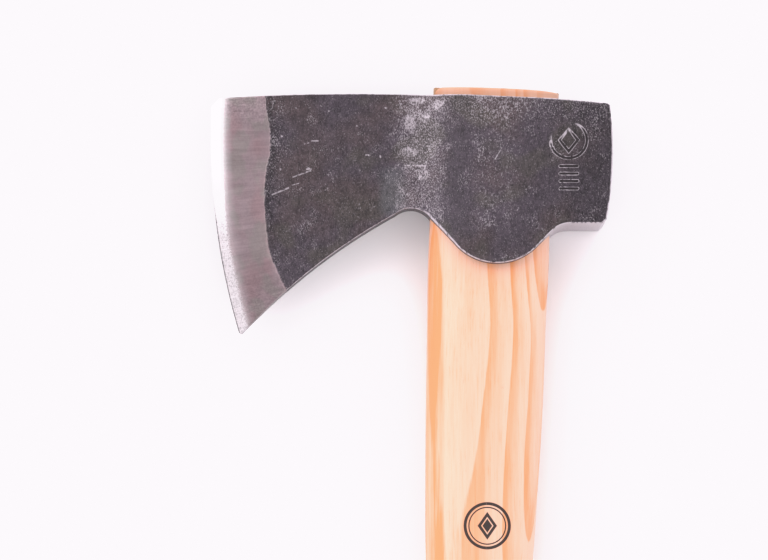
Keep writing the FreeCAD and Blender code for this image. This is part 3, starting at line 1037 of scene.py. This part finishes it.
def haft_skin(size):
    """The whole haft: domed knob, eased rim, long body, eased sawn top and its flat.

    The rows tilt by degrees to the slope of the sawn top, and a slow noise makes the surface a
    little uneven, as a hand-finished one is.
    """
    low, high = HAFT_LOW.y / MM, HAFT_HIGH.y / MM - size.top_gap
    turns = np.linspace(0.0, math.pi / 2.0, EASE_STEPS)
    knob_inset = size.end_round * (1.0 - np.sin(turns))
    knob_rows = low + size.end_dome + size.end_round * (1.0 - np.cos(turns))
    top_inset = size.top_round * (1.0 - np.cos(turns[1::2]))
    top_rows = high - size.top_round + size.top_round * np.sin(turns[1::2])
    body = np.arange(knob_rows[-1] + HAFT_STEP, top_rows[0] - 0.3, HAFT_STEP)
    rows = np.concatenate([knob_rows, body, top_rows])
    inset = np.concatenate([knob_inset, np.zeros(len(body)), top_inset])
    skin = haft_section(rows, HAFT_AROUND, inset)

    centre = skin.mean(axis=1, keepdims=True)
    free = smoothstep(30.0, 45.0, 31.0 - skin[..., 1]) * smoothstep(0.0, 12.0, skin[..., 1] - low)
    uneven = noise(skin / (1.0, 2.2, 1.0), 13.0, 5) * size.waviness * free
    outwards = skin - centre
    outwards /= np.linalg.norm(outwards, axis=-1)[..., None]
    skin = skin - outwards * uneven[..., None]

    domes = np.linspace(0.0, 1.0, 12)[:-1]
    knob = shrunk(skin[0], domes)
    knob[..., 1] -= size.end_dome * (1.0 - domes[:, None] ** 2)
    top = shrunk(skin[-1], np.linspace(1.0, 0.0, 14)[1:])
    skin = np.concatenate([knob, skin, top])

    ahead = np.clip(skin[..., 0] - HAFT_STATIONS[-1][1], 0.0, None)
    corner = CORNER_DROP * np.clip(1.0 - ahead / CORNER_REACH, 0.0, None) ** 2
    tilt = smoothstep(-6.0, high, skin[..., 1])
    skin[..., 1] -= (TOP_SLOPE * ahead + corner) * tilt
    return closed_skin(skin)


def tapered_prism(widths, start_x, reach_x, gap, turn=0.0):
    """Wedge-shaped cutter that thins down -Y, turned about the middle plane's axis.

    A box whose thickness falls in a straight line from its top to its tip.
    """
    at_top, tip, depth = widths
    thick = at_top + (at_top - tip) * (BLANK_TOP_Y - SAWN_TOP_Y) / depth
    x, y, z = np.meshgrid(
        (start_x - gap, start_x + reach_x + gap),
        (BLANK_TOP_Y, SAWN_TOP_Y - depth),
        (-0.5, 0.5),
        indexing="ij",
    )
    z = z * (np.array([thick, tip])[None, :, None] + 2.0 * gap)
    angle = math.radians(turn)
    points = np.stack([
        x * math.cos(angle) - z * math.sin(angle),
        y,
        MID_Z + x * math.sin(angle) + z * math.cos(angle),
    ], axis=-1)
    quads = np.array([
        (0, 1, 3, 2), (4, 6, 7, 5), (0, 4, 5, 1), (2, 3, 7, 6), (0, 2, 6, 4), (1, 5, 7, 3),
    ])
    return points, quads


def ring_number(place):
    """Which growth ring each point is in, counted from the pith, with its fraction.

    The rings are circles about the pith, whose path runs slightly aslant of the haft, so that
    they show as tongues on the cheek and as arcs on the sawn ends.
    """
    pith_x, pith_z = hermite(PITH_PATH, place[:, 1])
    radius = np.hypot(place[:, 0] - pith_x, place[:, 2] - pith_z)
    return np.interp(radius, RING_RADII, np.arange(len(RING_RADII)))


def burned_mark(g):
    """Plain round mark burned into the haft: a ring, a thin ring and a hollow diamond.

    The rings are the distance from the centre less a radius. The diamond is the sum of the two
    offsets, with the second made smaller.
    """
    x, y = g.x - BURN_CENTRE[0], g.y - BURN_CENTRE[1]
    from_centre = g.distance(x, y)
    ring = abs(from_centre - BURN_RADII[0]).step(0.62, 0.42)
    thin_ring = abs(from_centre - BURN_RADII[1]).step(0.30, 0.14)
    diamond = abs(x) + abs(y) * 0.7
    ink = ring.most(thin_ring.most(diamond.step(BURN_DIAMOND, BURN_DIAMOND - 0.3)))
    hollow = abs(diamond - BURN_HOLLOW).step(0.30, 0.14)
    return ink * (1.0 - hollow) * on_upper(g, reach=1.0)


def growth_rings(g):
    """How dark each growth ring is: steep at its inner side and fading outwards.

    Each ring has its own darkness, and its border wanders and is ragged.
    """
    wander = g.stretched(7.0, 60.0, 7.0) - 0.5
    ragged = g.stretched(0.8, 14.0, 0.8) - 0.5
    ring = g.attribute("ring") + wander * 0.16 + ragged * 0.05
    number = g.math("FLOOR", ring) + 0.5
    random = g.node("TexWhiteNoise", {"noise_dimensions": "1D"}, {"W": number})
    late = g.ramp(
        g.math("FRACT", ring),
        (0.0, 0.02), (0.025, 1.0), (0.22, 0.82), (0.36, 0.46), (0.55, 0.24), (0.80, 0.06),
        (1.0, 0.0),
    )
    return late * (0.70 + random * 0.32)


def hickory(colours):
    """Hickory: growth rings from the piece's own attribute, fibres along Y, and sawn ends.

    The front of the haft is warmer and its back paler, and beside the eye the wood is painted
    darker, as painted shade from the head.
    """
    g = Graph("hickory")
    late = growth_rings(g)
    fibre = g.stretched(0.40, 11.0, 0.40, detail=3.0, roughness=0.65)
    streak = g.stretched(1.6, 55.0, 1.6)
    cloud = g.stretched(10.0, 45.0, 10.0, detail=1.0)
    pore = g.stretched(0.22, 2.6, 0.22, detail=1.0).step(0.70, 0.80)
    front = g.x.step(-15.8, -17.2) * g.y.step(-165.0, -140.0)
    warmth = late * 0.96 + (streak - 0.5) * (0.45 + late * 0.7) + (cloud - 0.5) * 0.30
    warmth = warmth + (fibre - 0.5) * 0.50 + fibre.step(0.56, 0.72) * 0.24
    warmth = warmth - g.x.step(12.5, 15.5) * 0.22 + front * (streak * 1.1 - 0.14)
    warmth = g.math("ADD", warmth, 0.04, clamp=True)
    wood = g.mix(warmth, colours.early_wood, colours.late_wood)
    wood = g.mix(pore * 0.28, wood, WOOD_PORE)
    # Painted shade: the haft is darker just above the head's top, where the head shades it.
    wood = g.mix(g.y.step(26.5, 29.5) * g.x.step(-20.5, -18.0) * 0.55, wood, HEAD_SHADE_ON_HAFT)

    sawn = g.attribute("sawn").step(0.55, 0.85)
    dots = g.noise(0.34, 1.0).step(0.60, 0.72)
    end = g.mix(late * 0.7 + (g.noise(3.0) - 0.5) * 0.5, colours.end_grain, END_RING)
    wood = g.mix(sawn, wood, g.mix(dots * 0.45, end, END_PORE))
    mark = burned_mark(g) * (0.98 - pore * 0.2)
    relief = fibre * 0.35 - pore * 0.5 * (1.0 - sawn) - mark * 1.6 - dots * sawn * 0.9
    return g.surface(
        {"IOR": 1.45},
        Base_Color=g.mix(mark, wood, colours.burn),
        Roughness=0.46 + (fibre - 0.5) * 0.16 + sawn * 0.22 + mark * 0.2,
        Normal=g.bump(relief, 0.06, 0.7),
    )


def build_haft(settings):
    """The haft, with the kerf and the prongs' slots cut into its sawn top.

    Its material reads two numbers at each point: the growth ring, and how squarely it is sawn.
    """
    size = in_millimetres(settings)
    haft = new_piece("haft_hickory", *haft_skin(size))
    kerf = tapered_prism(KERF, KERF_START, KERF_LENGTH, size.kerf_gap)
    cut(haft, new_piece("kerf_cutter", *kerf))
    for number, turn in enumerate(PRONG_TURNS):
        points, quads = tapered_prism(PRONG, 0.0, PRONG_LENGTH, size.kerf_gap, turn)
        points[..., 0] += sum(HAFT_STATIONS[-2][1:3]) / 2.0
        cut(haft, new_piece(f"prong_cutter_{number}", points, quads))
    mesh = haft.data
    paint(mesh, "ring", ring_number(read_points(mesh, "co") / MM))
    paint(mesh, "sawn", abs(read_points(mesh, "normal")[:, 1]))
    finish_piece(haft, hickory(settings), "haft")


# ---- wedges


def wedge_wood(colours):
    """Darker hardwood: fibres along Y, with crushed end grain on the sawn top."""
    g = Graph("wedge_wood")
    fibre = g.stretched(0.5, 12.0, 0.5, detail=3.0)
    rays = g.noise(0.5, 3.0, place=g.vector(g.x / 3.0, g.y, g.z))
    pore = g.noise(0.4, 1.0).step(0.58, 0.70)
    wood = g.mix(fibre * 0.6 + rays * 0.4, colours.wood, WEDGE_FIBRE)
    return g.surface(
        Base_Color=g.mix(pore * 0.5, wood, WEDGE_PORE),
        Roughness=0.62 + fibre * 0.1,
        Normal=g.bump(fibre - pore * 0.6 + rays * 0.5, 0.08, 0.8),
    )


def wedge_steel(colours):
    """Bare steel, bright where the hammer struck it and brown in its hollows."""
    g = Graph("wedge_steel")
    dents, grain = g.noise(1.8), g.noise(0.35, 3.0)
    steel = g.mix(dents.step(0.5, 0.7) * 0.6, colours.steel, WEDGE_RUST)
    return g.surface(
        Base_Color=g.mix(grain * 0.4, steel, WEDGE_SHINE),
        Metallic=1.0 - dents.step(0.55, 0.8) * 0.4,
        Roughness=0.34 + dents * 0.3,
        Normal=g.bump(dents + grain * 0.2, 0.12, 0.7),
    )


# ---- stage


def add_floor(colours):
    """A wide pale tabletop just under the lower cheek."""
    mesh = bpy.data.meshes.new("tabletop")
    signs = ((-1, -1), (1, -1), (1, 1), (-1, 1))
    corners = [(x * TABLE_HALF, y * TABLE_HALF, -TABLE_DROP) for x, y in signs]
    mesh.from_pydata(corners, [], [(0, 1, 2, 3)])
    g = Graph("tabletop")
    tint = g.mix(g.noise(60.0), colours.floor, tuple(0.985 * part for part in colours.floor))
    mesh.materials.append(g.surface({"Specular IOR Level": 0.2}, Base_Color=tint, Roughness=0.75))
    floor = link("tabletop", mesh)


def aim(thing, place, target, up):
    """Puts a camera or light at a place, looking at a target, with its top towards up."""
    forward = (Vector(target) - Vector(place)).normalized()
    right = forward.cross(Vector(up)).normalized()
    axes = Matrix((right, right.cross(forward), -forward)).transposed()
    thing.matrix_world = Matrix.Translation(place) @ axes.to_4x4()


def add_key(stage):
    """The key light: soft, square and from the upper left."""
    light = bpy.data.lights.new("key", "AREA")
    light.shape, light.size = "SQUARE", KEY_SIDE
    light.energy, light.color = stage.key_power, KEY_COLOUR
    aim(link("key", light), KEY_PLACE, KEY_TARGET, (0.0, 0.0, 1.0))


def add_surroundings(stage):
    """A bright tent of light with a dim opening overhead, where the room shows through.

    The light is a little stronger from above the head of the hatchet and from its left.
    """
    world = bpy.data.worlds.new("surroundings")
    bpy.context.scene.world = world
    g = Nodes(world)
    direction = g.node("TexCoord", output="Generated")
    opening = g.dot(direction, OPENING_AXIS).step(*OPENING_COSINES)
    tint = g.mix(opening, stage.world, stage.opening)
    light = g.shade(tint, 1.0 + g.dot(direction, BRIGHT_SIDE) * BRIGHT_SHARE)
    strength = {"Color": light, "Strength": stage.world_strength}
    background = g.node("Background", {}, strength)
    g.node("OutputWorld", {}, {"Surface": background})


def set_tones():
    """A film-like shoulder: tones stay as they are, and the brightest are drawn together."""
    view = bpy.context.scene.view_settings
    view.view_transform = "Standard"
    view.use_curve_mapping = True
    curves = view.curve_mapping
    curves.extend = "HORIZONTAL"
    reach = TONE_SHOULDER[-1][0]
    curves.white_level = (reach,) * 3
    for curve, share in zip(curves.curves, (1.0, GREEN_SHARE, 1.0)):
        curve.points[-1].location = (1.0, share)
        for tone, shown in TONE_SHOULDER[:-1]:
            curve.points.new(tone / reach, shown * share)
        for point in curve.points:
            point.handle_type = "VECTOR"
    curves.update()


def add_camera(stage):
    """Nearly straight above the head, a little towards the knob."""
    lens = bpy.data.cameras.new("camera")
    lens.lens, lens.sensor_width = stage.lens, SENSOR_WIDTH
    lens.clip_start, lens.clip_end = 0.01, 50.0
    camera = link("camera", lens)
    aim(camera, CAMERA_PLACE, CAMERA_TARGET, (0.0, 1.0, 0.0))
    bpy.context.scene.camera = camera


# ---- operators


class HATCHET_OT_head(Operator):
    """Forge the head around the CAD head"""

    bl_idname = "hatchet.head"
    bl_label = "Head"

    def execute(self, context):
        build_head(context.scene.hatchet_head)
        return {"FINISHED"}


class HATCHET_OT_haft(Operator):
    """Carve the haft around the CAD haft"""

    bl_idname = "hatchet.haft"
    bl_label = "Haft"

    def execute(self, context):
        build_haft(context.scene.hatchet_haft)
        return {"FINISHED"}


class HATCHET_OT_wedges(Operator):
    """Finish the wooden and the steel wedge"""

    bl_idname = "hatchet.wedges"
    bl_label = "Wedges"

    def execute(self, context):
        colours = context.scene.hatchet_wedges
        dress(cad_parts["eye_wedge"].data, wedge_wood(colours))
        dress(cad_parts["steel_wedge"].data, wedge_steel(colours))
        return {"FINISHED"}


class HATCHET_OT_stage(Operator):
    """Set the tabletop, the lights and the camera"""

    bl_idname = "hatchet.stage"
    bl_label = "Stage"

    def execute(self, context):
        stage = context.scene.hatchet_stage
        add_floor(stage)
        add_surroundings(stage)
        set_tones()
        add_key(stage)
        add_camera(stage)
        return {"FINISHED"}


class HATCHET_PT_panel(Panel):
    bl_label = "Carving Hatchet"
    bl_space_type = "VIEW_3D"
    bl_region_type = "UI"
    bl_category = "Hatchet"

    def draw(self, context):
        for settings, (_, operator) in STEPS.items():
            self.layout.operator(operator.bl_idname)
            group = getattr(context.scene, settings)
            for name in group.__annotations__:
                self.layout.prop(group, name)


STEPS = {
    "hatchet_head": (HatchetHeadSettings, HATCHET_OT_head),
    "hatchet_haft": (HatchetHaftSettings, HATCHET_OT_haft),
    "hatchet_wedges": (HatchetWedgeSettings, HATCHET_OT_wedges),
    "hatchet_stage": (HatchetStageSettings, HATCHET_OT_stage),
}
CLASSES = (*itertools.chain(*STEPS.values()), HATCHET_PT_panel)


def register():
    for item in CLASSES:
        bpy.utils.register_class(item)
    for name, (group, _) in STEPS.items():
        setattr(bpy.types.Scene, name, PointerProperty(type=group))


def unregister():
    for name in STEPS:
        delattr(bpy.types.Scene, name)
    for item in reversed(CLASSES):
        bpy.utils.unregister_class(item)


def main():
    register()
    bpy.ops.hatchet.head()
    bpy.ops.hatchet.haft()
    bpy.ops.hatchet.wedges()
    bpy.ops.hatchet.stage()


if __name__ == "__main__":
    main()
